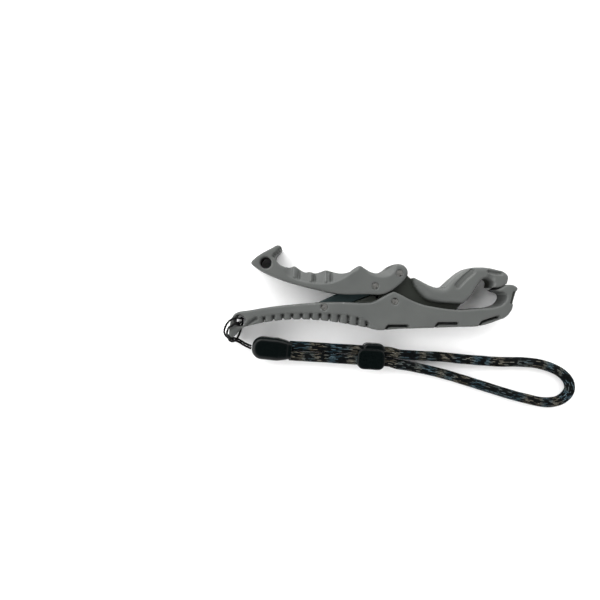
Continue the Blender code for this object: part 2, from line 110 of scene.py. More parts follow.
TETHER_ROUTE = [
    (-76.2, -25.5, 4.8), (-79.8, -24.1, 3.8), (-83.2, -22.2, 2.8), (-86.4, -21.0, 2.7),
    (-88.6, -19.9, 3.6), (-89.9, -18.3, 6.5), (-90.0, -15.8, 10.0), (-88.5, -12.5, 13.4),
    (-86.4, -10.1, 15.2), (-84.2, -8.9, 15.4), (-82.2, -8.6, 14.7), (-81.2, -8.9, 12.3),
    (-81.1, -9.0, 7.0), (-81.2, -9.5, 2.3), (-81.3, -11.4, 0.9), (-81.9, -13.9, 0.8),
    (-82.6, -16.6, 1.2), (-83.3, -18.7, 2.8), (-84.2, -20.4, 4.3), (-85.5, -21.5, 4.3),
    (-87.0, -21.9, 3.0), (-88.5, -21.3, 1.8), (-89.2, -19.9, 1.1), (-88.3, -17.8, 0.8),
    (-85.9, -15.0, 0.8), (-83.5, -12.8, 0.8), (-82.3, -11.5, 2.2), (-82.0, -11.3, 7.0),
    (-82.2, -11.2, 12.6), (-83.0, -11.4, 14.7), (-84.7, -12.3, 15.3), (-86.7, -13.6, 15.2),
    (-88.0, -15.8, 12.6), (-88.6, -17.8, 8.6), (-87.8, -19.3, 5.3), (-85.6, -20.0, 3.2),
    (-82.6, -21.2, 2.9), (-79.5, -22.9, 3.8), (-76.2, -24.2, 4.8),
]
LOOP_ROUTE = [
    (4.5, -28.8, 4.2), (15.0, -29.6, 2.8), (29.0, -30.5, 2.6), (43.0, -31.9, 2.6),
    (58.0, -33.0, 2.6), (71.0, -33.2, 2.6), (82.0, -34.4, 2.6), (91.2, -37.9, 2.6),
    (97.1, -43.3, 2.6), (97.5, -49.4, 2.6), (92.2, -54.1, 2.6), (84.0, -55.2, 2.6),
    (73.0, -53.0, 2.6), (57.0, -48.4, 2.6), (40.0, -43.0, 2.6), (23.0, -38.2, 2.6),
    (9.5, -35.4, 3.0), (2.5, -34.1, 4.0),
]


def strap_point(along, across):
    """A place on the doubled strap, measured from the middle of the cap's face."""
    return (
        CAP_LEFT[0] + CAP_LONG * math.cos(CAP_TURN)
        + along * math.cos(STRAP_TURN) - across * math.sin(STRAP_TURN),
        CAP_LEFT[1] + CAP_LONG * math.sin(CAP_TURN)
        + along * math.sin(STRAP_TURN) + across * math.cos(STRAP_TURN),
        STRAP_Z,
    )


def smooth_route(route, spacing):
    """Evenly spaced points on a Catmull-Rom curve through the route's points."""
    known = [Vector(p) for p in route]
    known = [2 * known[0] - known[1], *known, 2 * known[-1] - known[-2]]
    fine = []
    for a, b, c, d in zip(known, known[1:], known[2:], known[3:]):
        for t in (step / CURVE_STEPS for step in range(CURVE_STEPS)):
            bend = (2 * a - 5 * b + 4 * c - d) * t**2 + (3 * b - a - 3 * c + d) * t**3
            fine.append(b + ((c - a) * t + bend) / 2)
    fine.append(known[-2])
    reach = np.cumsum([0.0] + [(b - a).length for a, b in zip(fine, fine[1:])])
    wanted = np.linspace(0.0, reach[-1], round(reach[-1] / spacing) + 1)
    columns = [np.interp(wanted, reach, [p[axis] for p in fine]) for axis in range(len(route[0]))]
    return np.stack(columns, axis=1)


side = STRAP_PITCH / 2
strap_route = smooth_route(
    [strap_point(along, side) for along in STRAIGHT_RUN]
    + LOOP_ROUTE
    + [strap_point(along, -side) for along in reversed(STRAIGHT_RUN)],
    STRAP_STEP,
)
tether_route = smooth_route(TETHER_ROUTE, TETHER_STEP)

# %% [markdown]
# ## A tube with its own measure
# A curve with a bevel would do for a plain cord, but a braid has to run along the cord.
# So the tube is grown from one circle: each extrusion is set round the next point, and
# every corner keeps its ring and side. Those two numbers become a UV map in which one
# unit is one cord diameter along and one turn around, so a weave can be scaled from them.

# %% Tube
def tube(name, route, diameter, sides, swell):
    """A closed tube along a route in millimetres, with swell giving each ring's shape."""
    path = [from_jaw_pin(*point) for point in route]
    made = bmesh.new()
    ring_of = made.verts.layers.int.new("ring")
    side_of = made.verts.layers.int.new("side")
    uv = made.loops.layers.uv.new("UVMap")
    circle = bmesh.ops.create_circle(made, segments=sides, radius=diameter / 2 * MM)["verts"]
    for number, corner in enumerate(circle):
        corner[side_of] = number
    corners, edges = circle, list(made.edges)
    across = Vector((0.0, 0.0, 1.0))
    for ring, middle in enumerate(path):
        if ring:
            grown = bmesh.ops.extrude_edge_only(made, edges=edges)["geom"]
            corners = [g for g in grown if isinstance(g, bmesh.types.BMVert)]
            edges = [g for g in grown if isinstance(g, bmesh.types.BMEdge) and g.is_boundary]
        heading = (path[min(ring + 1, len(path) - 1)] - path[max(ring - 1, 0)]).normalized()
        across = (across - heading * across.dot(heading)).normalized()
        third = heading.cross(across)
        for corner in corners:
            corner[ring_of] = ring
            turn = 2 * math.pi * corner[side_of] / sides
            size = diameter / 2 * MM * swell(ring, turn)
            corner.co = middle + (across * math.cos(turn) + third * math.sin(turn)) * size
    for face in made.faces:
        wraps = {corner[side_of] for corner in face.verts} == {0, sides - 1}
        for loop in face.loops:
            number = loop.vert[side_of]
            around = (sides if wraps and number == 0 else number) / sides
            along = reach_at(route, loop.vert[ring_of]) / diameter
            loop[uv].uv = (along, around)
    bmesh.ops.holes_fill(made, edges=[e for e in made.edges if e.is_boundary], sides=sides)
    bmesh.ops.recalc_face_normals(made, faces=made.faces)
    return to_object(made, name), path


def reach_at(route, ring):
    """The length of a route up to one of its evenly spaced points."""
    return ring * float(np.linalg.norm(route[1] - route[0]))


def to_object(made, name):
    """A smooth-shaded object at the origin from a bmesh, which it frees."""
    mesh = bpy.data.meshes.new(name)
    made.to_mesh(mesh)
    made.free()
    mesh.shade_smooth()
    piece = bpy.data.objects.new(name, mesh)
    bpy.context.scene.collection.objects.link(piece)
    return piece


def settle(piece, body, finish, stands_for):
    """Gives a piece its finish, and hangs it on its body in place of its CAD node."""
    piece.data.materials.clear()
    piece.data.materials.append(finish)
    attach(piece, body)
    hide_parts(stands_for)
    print(piece.name, len(piece.data.polygons), "faces on", body)


last_ring = reach_at(strap_route, len(strap_route) - 1)
print("the strap's last ring is", round(last_ring, 1), "mm along")

# %% [markdown]
# ## How a finish is put together
# A finish is a Principled shader whose plain numbers are typed in, and a few nodes for
# what changes over the surface. Hex colours are what a maker reads off a swatch, so one
# function turns them to linear light. One other adds a node with its settings and links.
# A texture's scale is how many times it repeats in a metre, so it comes from its size.

# %% Finish helpers
def linear(hex_colour):
    """A linear colour with alpha from an sRGB hex value such as '#646664'."""
    shares = [int(hex_colour[at:at + 2], 16) / 255 for at in (1, 3, 5)]
    return (*[s / 12.92 if s <= 0.04045 else ((s + 0.055) / 1.055) ** 2.4 for s in shares], 1.0)


def per_metre(size_mm):
    """A texture's scale on Object coordinates, from the size of its detail."""
    return 1.0 / (size_mm * MM)


def add(tree, kind, sockets=None, **settings):
    """Adds a node. Sockets are set by name or number, from a value or another's output."""
    node = tree.nodes.new("ShaderNode" + kind)
    for name, value in settings.items():
        setattr(node, name, value)
    for socket, value in (sockets or {}).items():
        if isinstance(value, bpy.types.NodeSocket):
            tree.links.new(value, node.inputs[socket])
        else:
            node.inputs[socket].default_value = value
    return node


def begin(name, **numbers):
    """A new material, its node tree and its shader, with the shader's plain numbers set."""
    made = bpy.data.materials.new(name)
    made.use_nodes = True
    tree = made.node_tree
    shader = tree.nodes["Principled BSDF"]
    for socket, value in numbers.items():
        shader.inputs[socket.replace("_", " ").title().replace("Ior", "IOR")].default_value = value
    return made, tree, shader


def blend(tree, share, low, high):
    """The colour between two colours or sockets by a share."""
    mixed = add(tree, "Mix", {0: share, 6: low, 7: high}, data_type="RGBA")
    return mixed.outputs[2]


def ramp(tree, value, low, high, floor=0.0, ceiling=1.0):
    """A value's place between low and high, spread from floor to ceiling."""
    sockets = {0: value, 1: low, 2: high, 3: floor, 4: ceiling}
    return add(tree, "MapRange", sockets, clamp=True).outputs[0]


print("mid grey #646664 is", round(linear("#646664")[0], 4), "in linear light")

# %% [markdown]
# ## Paracord
# Paracord is a nylon kernmantle cord: a braided sheath over straight core yarns. Two
# sets of strands spiral opposite ways and pass over and under, which gives rows of small
# slanted picks. A camouflage cord is black with a few tracer yarns, in grey-blue and in
# tan to pale grey, that surface as short dashes along it. The real picks are 0.6 mm,
# finer than the view shows, so the bump is drawn at 1.3 mm. Sheath yarn is dull: a high
# roughness, very little specular and a trace of Sheen keep the turn of the cord dark.

# %% Paracord finish
PICKS_AROUND = 12
PICK_LONG_MM = 1.3
DASH_ROWS = 52
DASH_LONG_MM = 2.6


def paracord():
    made, tree, shader = begin(
        "camouflage paracord, braided nylon", roughness=0.8, ior=1.53,
        sheen_weight=0.01, sheen_roughness=0.4,
    )
    shader.inputs["Specular IOR Level"].default_value = 0.04
    uv = add(tree, "UVMap", uv_map="UVMap").outputs[0]
    parts = add(tree, "SeparateXYZ", {0: uv})
    along_mm = add(tree, "Math", {0: parts.outputs[0], 1: STRAP_D}, operation="MULTIPLY").outputs[0]
    around = parts.outputs[1]

    # The two spirals of the sheath, as counts of picks
    lift = add(tree, "Math", {0: along_mm, 1: PICK_LONG_MM}, operation="DIVIDE").outputs[0]
    turn = add(tree, "Math", {0: around, 1: PICKS_AROUND}, operation="MULTIPLY").outputs[0]
    right = add(tree, "Math", {0: lift, 1: turn}, operation="ADD").outputs[0]
    left = add(tree, "Math", {0: lift, 1: turn}, operation="SUBTRACT").outputs[0]
    crowns = [
        add(tree, "Math", {0: spiral, 1: 1.0}, operation="PINGPONG").outputs[0]
        for spiral in (right, left)
    ]
    high = add(tree, "Math", {0: crowns[0], 1: crowns[1]}, operation="MULTIPLY").outputs[0]

    # One random number for each dash. Each row is moved along, and every second one is plain
    row = add(tree, "Math", {0: around, 1: DASH_ROWS}, operation="MULTIPLY").outputs[0]
    whole_row = add(tree, "Math", {0: row}, operation="FLOOR").outputs[0]
    shift = add(tree, "Math", {0: whole_row, 1: 0.37}, operation="MULTIPLY").outputs[0]
    dash = add(
        tree, "Math", {0: along_mm, 1: 1.0 / DASH_LONG_MM, 2: shift}, operation="MULTIPLY_ADD"
    ).outputs[0]
    whole_dash = add(tree, "Math", {0: dash}, operation="FLOOR").outputs[0]
    cell = add(tree, "CombineXYZ", {0: whole_dash, 1: whole_row}).outputs[0]
    chance = add(tree, "TexWhiteNoise", {0: cell}, noise_dimensions="2D")

    # A dash is a yarn's top: its ends and sides dip under the next ones
    shape = 1.0
    for place, soft in ((dash, 0.1), (row, 0.3)):
        inwards = add(tree, "Math", {0: place, 1: 0.5}, operation="PINGPONG").outputs[0]
        edge = ramp(tree, inwards, 0.0, soft)
        shape = add(tree, "Math", {0: edge, 1: shape}, operation="MULTIPLY").outputs[0]

    # Tracers come and go along the cord, and one colour leads for a while
    stretch = add(tree, "CombineXYZ", {0: along_mm, 1: around}).outputs[0]
    crowd = add(tree, "TexNoise", {"Vector": stretch, "Scale": 0.16, "Detail": 1.0}).outputs[0]
    family = add(tree, "TexNoise", {"Vector": stretch, "Scale": 0.1, "Detail": 0.0}).outputs[0]
    bar = ramp(tree, crowd, 0.38, 0.62, 0.78, 0.35)
    shows = add(
        tree, "Math", {0: chance.outputs["Value"], 1: bar}, operation="GREATER_THAN"
    ).outputs[0]
    odd = add(tree, "Math", {0: whole_row, 1: 2.0}, operation="FLOORED_MODULO").outputs[0]
    shows = add(tree, "Math", {0: shows, 1: odd}, operation="MULTIPLY").outputs[0]
    tint = add(tree, "SeparateColor", {0: chance.outputs["Color"]})
    cool = blend(tree, tint.outputs[1], linear("#1c333d"), linear("#566a72"))
    warm = blend(tree, tint.outputs[2], linear("#453f33"), linear("#7a776d"))
    tracer = blend(tree, ramp(tree, family, 0.42, 0.58), cool, warm)
    amount = add(tree, "Math", {0: shows, 1: shape}, operation="MULTIPLY").outputs[0]
    # Painted light and shade: the crowns of the picks are a little lighter than the hollows between
    # them.
    base = blend(tree, high, linear("#010202"), linear("#090c0e"))
    tree.links.new(blend(tree, amount, base, tracer), shader.inputs["Base Color"])

    height = add(tree, "Math", {0: amount, 1: 0.4, 2: high}, operation="MULTIPLY_ADD").outputs[0]
    bump = add(tree, "Bump", {"Height": height, "Strength": 0.3, "Distance": 0.2 * MM})
    tree.links.new(bump.outputs[0], shader.inputs["Normal"])
    return made


PARACORD = paracord()
print(PARACORD.name, "has", len(PARACORD.node_tree.nodes), "nodes")

# %% [markdown]
# ## The wrist strap
# Both ends of the strap sit in the cap, so the loop is drawn from the cap's face, through
# the slider, round and back. Cord squeezed and bent by hand is never quite even, so each
# ring swells by a few hundredths of its size, and the two runs all but touch.

# %% Strap
STRAP_SIDES = 28
FULLNESS = 1.045


def cord_swell(ring, turn):
    """Slow, small changes in the sheath's size along and around it."""
    reach = ring * STRAP_STEP
    return FULLNESS + 0.015 * math.sin(reach / 3.7 + turn) + 0.01 * math.sin(reach / 1.9 - 2 * turn)


strap, strap_path = tube("wrist_strap", strap_route, STRAP_D, STRAP_SIDES, cord_swell)
settle(strap, "frame", PARACORD, "strap_cord")

# %% [markdown]
# ## The tether
# The tether is waxed polyester twine, three plies laid up tight. At a millimetre thick
# its twist is just a ripple on the edge, so it is modelled: the ring has three lobes that
# turn as they go along. Wax gives it a low, broken shine.

# %% Tether
TWIST_LONG_MM = 2.4
PLIES = 3
PLY_HIGH = 0.09
TWINE_FULLNESS = 1.1
TWINE_SIDES = 18


def twine():
    made, tree, shader = begin(
        "waxed black twine, three-ply polyester", roughness=0.6, ior=1.5,
    )
    shader.inputs["Specular IOR Level"].default_value = 0.08
    place = add(tree, "TexCoord").outputs["Object"]
    fibre = add(tree, "TexNoise", {"Vector": place, "Scale": per_metre(0.3), "Detail": 3.0})
    shade = blend(tree, fibre.outputs[0], linear("#020202"), linear("#0a0a0b"))
    tree.links.new(shade, shader.inputs["Base Color"])
    bump = add(tree, "Bump", {"Height": fibre.outputs[0], "Strength": 0.5, "Distance": 0.05 * MM})
    tree.links.new(bump.outputs[0], shader.inputs["Normal"])
    return made


def twist(ring, turn):
    """Three plies that go once round in each TWIST_LONG_MM."""
    lay = 2 * math.pi * ring * TETHER_STEP / TWIST_LONG_MM
    return TWINE_FULLNESS + PLY_HIGH * math.cos(PLIES * turn - lay)


TWINE = twine()
tether, tether_path = tube("tether_twine_loop", tether_route, TETHER_D, TWINE_SIDES, twist)
settle(tether, "frame", TWINE, "tether_cord")

# %% [markdown]
# ## From a hard shape to a moulding
# An injection moulding has no sharp corner: plastic flows, shrinks and leaves the steel
# with small fillets everywhere, even round a hole's rim. Bevelling every edge by name is
# long work where many cuts meet. Instead each moulding starts as a hard shape, becomes an
# even skin of small squares by the Remesh modifier, takes its dished and ribbed relief by
# moving that skin, and is then smoothed a little, which rounds all edges alike.

# %% Moulding helpers
def fine_skin(piece, voxel_mm):
    """Turns a hard closed piece into an even skin, as a bmesh."""
    remesh = piece.modifiers.new("even_skin", "REMESH")
    remesh.mode = "VOXEL"
    remesh.voxel_size = voxel_mm * MM
    skin = bmesh.new()
    skin.from_object(piece, bpy.context.evaluated_depsgraph_get())
    mesh = piece.data
    bpy.data.objects.remove(piece)
    bpy.data.meshes.remove(mesh)
    return skin


def merged_copy(node):
    """A welded copy of a CAD node, to be worked on as a new piece."""
    made = bmesh.new()
    made.from_mesh(frame["nodes"][node].data)
    bmesh.ops.remove_doubles(made, verts=made.verts, dist=0.002 * MM)
    return to_object(made, node + "_blank")


def cut(piece, tool, operation="DIFFERENCE"):
    """Cuts a tool out of a piece, or joins it on, for good."""
    step = piece.modifiers.new("cut", "BOOLEAN")
    step.operation = operation
    step.solver = "EXACT"
    step.object = tool
    bpy.context.view_layer.update()
    result = bpy.data.meshes.new_from_object(
        piece.evaluated_get(bpy.context.evaluated_depsgraph_get())
    )
    piece.modifiers.clear()
    old, piece.data = piece.data, result
    bpy.data.meshes.remove(old)
    tool_mesh = tool.data
    bpy.data.objects.remove(tool)
    bpy.data.meshes.remove(tool_mesh)


def start_block(size):
    """A bmesh of a plain box in millimetres, round the origin."""
    made = bmesh.new()
    bmesh.ops.create_cube(made, size=1.0)
    bmesh.ops.scale(made, vec=Vector(size) * MM, verts=made.verts)
    return made


def edges_along(made, axis):
    """The edges of a box that run along an axis, by its number."""
    return [e for e in made.edges if abs(e.verts[0].co[axis] - e.verts[1].co[axis]) > 0.1 * MM]


def level_edges(made):
    """The edges that lie level, which are a box's rims."""
    return [e for e in made.edges if abs(e.verts[0].co.z - e.verts[1].co.z) < 0.01 * MM]


def round_edges(made, edges, radius, segments):
    """Rounds edges by a radius in millimetres."""
    bmesh.ops.bevel(
        made, geom=edges, offset=radius * MM, segments=segments, profile=0.5,
        affect="EDGES", material=-1,
    )


def put(made, turn, centre):
    """Turns a bmesh about the upright axis and moves it to a place off the jaw's pin."""
    bmesh.ops.rotate(made, matrix=Matrix.Rotation(turn, 3, "Z"), verts=made.verts)
    bmesh.ops.translate(made, vec=from_jaw_pin(*centre), verts=made.verts)


def block(name, size, centre, turn, corner=0.0, rim=0.0):
    """A box in millimetres, with its upright edges and its rims rounded."""
    made = start_block(size)
    if corner:
        round_edges(made, edges_along(made, 2), corner, 6)
    if rim:
        round_edges(made, level_edges(made), rim, 4)
    put(made, turn, centre)
    return to_object(made, name)


def take_places(skin):
    """The skin's corners as an array in millimetres from the jaw's pin."""
    places = np.array([corner.co for corner in skin.verts])
    return (places - np.array(from_jaw_pin(0, 0))) / MM


def finish_skin(skin, places, name, rounds):
    """Puts the corners back, smooths the skin and makes it the piece."""
    origin = np.array(from_jaw_pin(0, 0))
    for corner, place in zip(skin.verts, places * MM + origin):
        corner.co = place
    for _ in range(rounds):
        bmesh.ops.smooth_vert(
            skin, verts=skin.verts, factor=0.5, use_axis_x=True, use_axis_y=True, use_axis_z=True
        )
    print(name, len(skin.verts), "corners after smoothing")
    return to_object(skin, name)


def paint_shade(piece, shares):
    """Stores for each corner how much painted shade darkens it, for a finish to read."""
    stored = piece.data.attributes.new("painted_shade_share", "FLOAT", "POINT")
    stored.data.foreach_set("value", np.asarray(shares, np.float32))


lever_node = frame["nodes"]["lever_handle"].data
print("the lever's CAD node has", len(lever_node.vertices), "corners before they are merged")

# %% [markdown]
# ## Relief as a field
# A toolmaker cuts relief into the flat sides of a mould, so every dish, rib and pocket is
# a depth that depends only on where it is in the side view. Here it is the same: depth is
# a number for each corner of the skin, added up from lines and curves, and both sides
# sink by it towards the middle plane. The core, with its slot and its pins, stays still.

# %% Relief helpers
LINE_STEP = 0.5
LEAST_WALL = 0.15


def line_of(points):
    """A smooth line in the side view through a few points."""
    return smooth_route(points, LINE_STEP)


def distance(places, line):
    """How far each place is from a line, in the side view."""
    flat = places[:, :2]
    nearest = np.full(len(flat), np.inf)
    for start, end in zip(line[:-1], line[1:]):
        step = end - start
        share = np.clip(((flat - start) @ step) / (step @ step), 0.0, 1.0)
        nearest = np.minimum(nearest, np.linalg.norm(flat - start - share[:, None] * step, axis=1))
    return nearest


def above(places, line):
    """How far each place is above a line that runs left to right."""
    return places[:, 1] - np.interp(places[:, 0], line[:, 0], line[:, 1])


def ease(value, start, end):
    """0 before start and 1 after end, with a smooth rise between."""
    share = np.clip((value - start) / (end - start), 0.0, 1.0)
    return share * share * (3 - 2 * share)


def round_off(edge_distance, radius, depth):
    """The depth of a rounded edge, from how far a place is from that edge."""
    share = np.clip(1 - edge_distance / radius, 0.0, 1.0)
    return depth * (1 - np.sqrt(1 - share**2))


def pocket(places, line, half_width, depth, wall=0.7):
    """A flat-bottomed pocket round a line, with slightly sloping walls."""
    return depth * ease(distance(places, line), half_width + wall / 2, half_width - wall / 2)


def sink(places, depth, core):
    """Moves both sides towards the middle plane, and leaves the core where it is."""
    away = places[:, 2] - MIDDLE
    share = np.clip((np.abs(away) - core) / (MIDDLE - core), 0.0, 1.0)
    depth = np.minimum(depth, MIDDLE - core - LEAST_WALL)
    places[:, 2] -= np.sign(away) * depth * share


edge_depths = round_off(np.array((0.0, 0.5, 1.0)), 2.0, 2.0)
print("a 2 mm round edge is", edge_depths.round(2), "mm deep at 0, 0.5 and 1 mm from it")

# %% [markdown]
# ## Moulded grey nylon
# The handles are glass-filled nylon, injection moulded in a spark-textured tool. That
# gives a matt, even grey with a fine grain and a weak, wide highlight. The rounded edges,
# which Pointiness finds, are painted a shade paler as a painted highlight where they catch
# the light. The grain is really 0.1 mm, and is drawn at 0.4 mm so that it shows. Where
# light hardly reaches, as in the slot and on the tang, a stored number turns the grey to
# a near black: painted shade.

# %% Grey moulding finish
# Painted shade: the near black that is laid on where deep shade falls.
PAINTED_SHADE_COLOUR = "#181c16"


def moulded(name, dark, light, painted_edge_highlight, roughness):
    made, tree, shader = begin(name, ior=1.53)
    shader.inputs["Specular IOR Level"].default_value = 0.3
    place = add(tree, "TexCoord").outputs["Object"]
    flow = add(tree, "TexNoise", {"Vector": place, "Scale": per_metre(14.0), "Detail": 2.0})
    grain = add(tree, "TexNoise", {"Vector": place, "Scale": per_metre(0.4), "Detail": 2.0})
    mottle = add(
        tree, "Math", {0: grain.outputs[0], 1: 0.35, 2: flow.outputs[0]}, operation="MULTIPLY_ADD"
    ).outputs[0]
    body = blend(tree, ramp(tree, mottle, 0.4, 0.95), linear(dark), linear(light))
    # Painted highlight: edges that Pointiness finds turn toward the paler edge colour.
    bend = add(tree, "NewGeometry").outputs["Pointiness"]
    edge = ramp(tree, bend, 0.53, 0.62, 0.0, 0.8)
    grey_and_highlight = blend(tree, edge, body, linear(painted_edge_highlight))
    # Painted shade: the stored share turns the grey to near black.
    shows = add(tree, "Attribute", attribute_name="painted_shade_share").outputs["Fac"]
    tree.links.new(blend(tree, shows, grey_and_highlight, linear(PAINTED_SHADE_COLOUR)), shader.inputs["Base Color"])
    rough = ramp(tree, grain.outputs[0], 0.3, 0.7, roughness - 0.06, roughness + 0.06)
    tree.links.new(rough, shader.inputs["Roughness"])
    bump = add(
        tree, "Bump", {"Height": grain.outputs[0], "Strength": 0.35, "Distance": 0.06 * MM}
    )
    tree.links.new(bump.outputs[0], shader.inputs["Normal"])
    return made


GREY_NYLON = moulded("grey nylon, spark-textured moulding", "#3f4140", "#474947", "#646664", 0.6)
print(GREY_NYLON.name, "has", len(GREY_NYLON.node_tree.nodes), "nodes")

# %% [markdown]
# ## The lever handle
# The lever is what the fingers pull. Two finger dishes fall away from a soft crease along
# its side, the long one with three ribs and three grooves for grip. Its blunt end is a
# dome over the pivot pin, and its hooked end has a ribbed pad for the thumb.

# %% Lever
LEVER_VOXEL = 0.3
LEVER_CORE = 3.2
LEVER_HOLE = (-67.7, 20.3)
HOLE_R = 3.0
HOLE_RIM = 0.9
HOLE_RIM_DEEP = 0.7
LONG_CREASE = line_of([
    (-58.0, 15.4), (-54.9, 12.6), (-49.7, 10.7), (-42.9, 9.4), (-36.6, 9.1), (-31.4, 10.0),
    (-26.2, 12.4), (-22.0, 15.2), (-17.8, 17.5),
])
SHORT_CREASE = line_of([
    (-14.7, 14.9), (-11.0, 13.2), (-7.4, 12.5), (-3.7, 12.9), (-1.1, 14.4), (1.0, 16.5),
])
DOME_EDGE = line_of([
    (-5.6, 16.3), (-2.6, 18.6), (1.6, 19.8), (5.4, 18.6), (7.1, 15.4), (6.4, 13.2),
])
HOOK_PAD = line_of([(-62.9, 24.0), (-61.4, 25.2), (-59.7, 27.0)])
PAD_PITCH = 1.4
RIBS = (-52.9, -44.2, -36.2)
RIB_HIGH = 1.3
RIB_HALF = 1.1
GRIP_GROOVES = (-50.4, -42.1, -33.3)
GRIP_DEEP = 1.9
GRIP_HALF = 1.2
CREASE_STEP = 0.4
DEEPEST_DISH = 3.8


def ridge(value, centre, half_width):
    """A smooth bump, 1 at its centre and 0 at its sides."""
    share = np.clip(np.abs(value - centre) / half_width, 0.0, 1.0)
    return (1 - share**2) ** 2


def hole_rim(places, centre):
    """The rounded rim of a lanyard hole."""
    away = np.linalg.norm(places[:, :2] - np.array(centre), axis=1) - HOLE_R
    return round_off(np.maximum(away, 0.0), HOLE_RIM, HOLE_RIM_DEEP)


def dish(places, crease, slope, hollow, fade):
    """A finger dish: a slope from its crease that grows steeper, faded at its ends."""
    fall = np.maximum(above(places, crease), 0.0)
    start, end = crease[0, 0], crease[-1, 0]
    inside = ease(places[:, 0], start, start + fade) * ease(places[:, 0], end, end - fade)
    return fall, (slope * fall + hollow * fall**2) * inside, inside


def lever_relief(places):
    fall, depth, inside = dish(places, LONG_CREASE, slope=0.36, hollow=0.03, fade=3.0)
    in_dish = ease(fall, 0.5, 1.2) * inside
    depth += CREASE_STEP * ease(fall, 0.0, 0.5) * inside
    for x in RIBS:
        depth -= RIB_HIGH * ridge(places[:, 0], x, RIB_HALF) * in_dish
    for x in GRIP_GROOVES:
        depth += GRIP_DEEP * ridge(places[:, 0], x, GRIP_HALF) * in_dish
    depth = np.minimum(np.maximum(depth, 0.0), DEEPEST_DISH)
    depth += dish(places, SHORT_CREASE, slope=0.5, hollow=0.1, fade=2.0)[1]
    depth += round_off(distance(places, DOME_EDGE), radius=2.6, depth=1.1)
    pad = pocket(places, HOOK_PAD, half_width=1.2, depth=2.2, wall=0.5)
    along_pad = places[:, 0] * 0.75 + places[:, 1] * 0.66
    depth += pad * (0.6 + 0.4 * np.cos(2 * math.pi * along_pad / PAD_PITCH))
    return depth + hole_rim(places, LEVER_HOLE)


def make_lever():
    skin = fine_skin(merged_copy("lever_handle"), LEVER_VOXEL)
    places = take_places(skin)
    sink(places, lever_relief(places), LEVER_CORE)
    return finish_skin(skin, places, "lever_moulding", 3)


lever = make_lever()
settle(lever, "lever", GREY_NYLON, "lever_handle")

# %% [markdown]
# ## The upper jaw
# The jaw is one moulding with a thin tang that runs between the handle's two cheeks. The
# jaw proper swells out of the tang in a quarter round, like a knuckle, so the swell is
# the tang's depth faded out over a few millimetres. Its back is generously rounded, and
# two cored-out pockets save plastic. The tang, the foot of the swell and the lower half
# of the wall inside the tip lie in deep shade, so they are painted near black: painted shade.

# %% Upper jaw
JAW_VOXEL = 0.28
TANG_HALF = 2.6
SWELL_WIDE = 6.4
SWELL_NARROW = 1.6
SWELL_EDGE = line_of([
    (9.4, 12.2), (9.7, 9.6), (10.7, 7.6), (12.6, 4.8), (16.6, 0.9), (21.5, -0.5),
    (28.7, -1.1), (35.8, -1.5),
])
TANG_SIDE = line_of([
    (-8.0, 30.0), (9.0, 13.0), (11.0, 6.4), (16.6, 0.9), (21.5, -0.5), (40.0, -1.6),
])
JAW_BACK = line_of([
    (12.4, 11.5), (16.3, 9.5), (20.6, 7.6), (26.0, 6.7), (29.4, 10.2), (33.0, 13.4),
    (36.6, 16.1), (40.2, 17.7), (44.4, 18.0), (49.0, 17.8), (53.7, 16.8), (57.9, 15.5),
    (60.0, 12.9), (59.4, 9.7),
])
JAW_INSIDE = line_of([
    (35.6, -1.5), (39.7, 2.4), (42.8, 7.3), (45.2, 10.6), (47.3, 12.0), (50.6, 11.4),
    (51.9, 9.8), (51.4, 7.4),
])
SLOPE_POCKET = line_of([(32.9, 8.3), (36.8, 12.3), (40.5, 15.5)])
TIP_POCKET = line_of([(49.3, 15.6), (52.3, 14.9), (55.6, 14.6)])
TIP_VALLEY = line_of([(50.0, 12.6), (50.6, 12.0)])
TIP_WALL = line_of([(49.2, 11.7), (50.6, 11.4), (51.9, 9.8), (51.4, 7.4)])


def jaw_relief(places):
    reach = SWELL_WIDE + (SWELL_NARROW - SWELL_WIDE) * ease(places[:, 0], 13.0, 26.0)
    share = np.clip(distance(places, SWELL_EDGE) / reach, 0.0, 1.0)
    swell = MIDDLE - TANG_HALF - LEAST_WALL
    depth = swell * (1 - np.sqrt(1 - (1 - share) ** 2))
    depth = np.maximum(depth, round_off(distance(places, JAW_BACK), radius=3.0, depth=1.5))
    depth = np.maximum(depth, round_off(distance(places, JAW_INSIDE), radius=1.6, depth=1.1))
    depth += pocket(places, SLOPE_POCKET, half_width=1.55, depth=1.0, wall=0.5)
    depth += pocket(places, TIP_POCKET, half_width=0.8, depth=1.2)
    return depth + pocket(places, TIP_VALLEY, half_width=1.4, depth=1.0, wall=1.6)


def make_jaw():
    skin = fine_skin(merged_copy("upper_jaw"), JAW_VOXEL)
    places = take_places(skin)
    sink(places, jaw_relief(places), TANG_HALF)
    # Painted shade: these shares darken the tang, the foot of the swell and the tip's inner wall.
    low = ease(np.abs(places[:, 2] - MIDDLE), TANG_HALF + 4.2, TANG_HALF)
    by_swell = ease(distance(places, SWELL_EDGE), 7.0, 3.0)
    on_tang = ease(above(places, TANG_SIDE), 1.0, -0.5)
    lower_half = ease(places[:, 2], MIDDLE + 2.0, MIDDLE - 0.5)
    in_tip = lower_half * ease(distance(places, TIP_WALL), 2.4, 1.4)
    piece = finish_skin(skin, places, "jaw_moulding", 2)
    paint_shade(piece, np.maximum(low * np.maximum(by_swell, on_tang), in_tip))
    return piece


jaw = make_jaw()
settle(jaw, "jaw", GREY_NYLON, "upper_jaw")
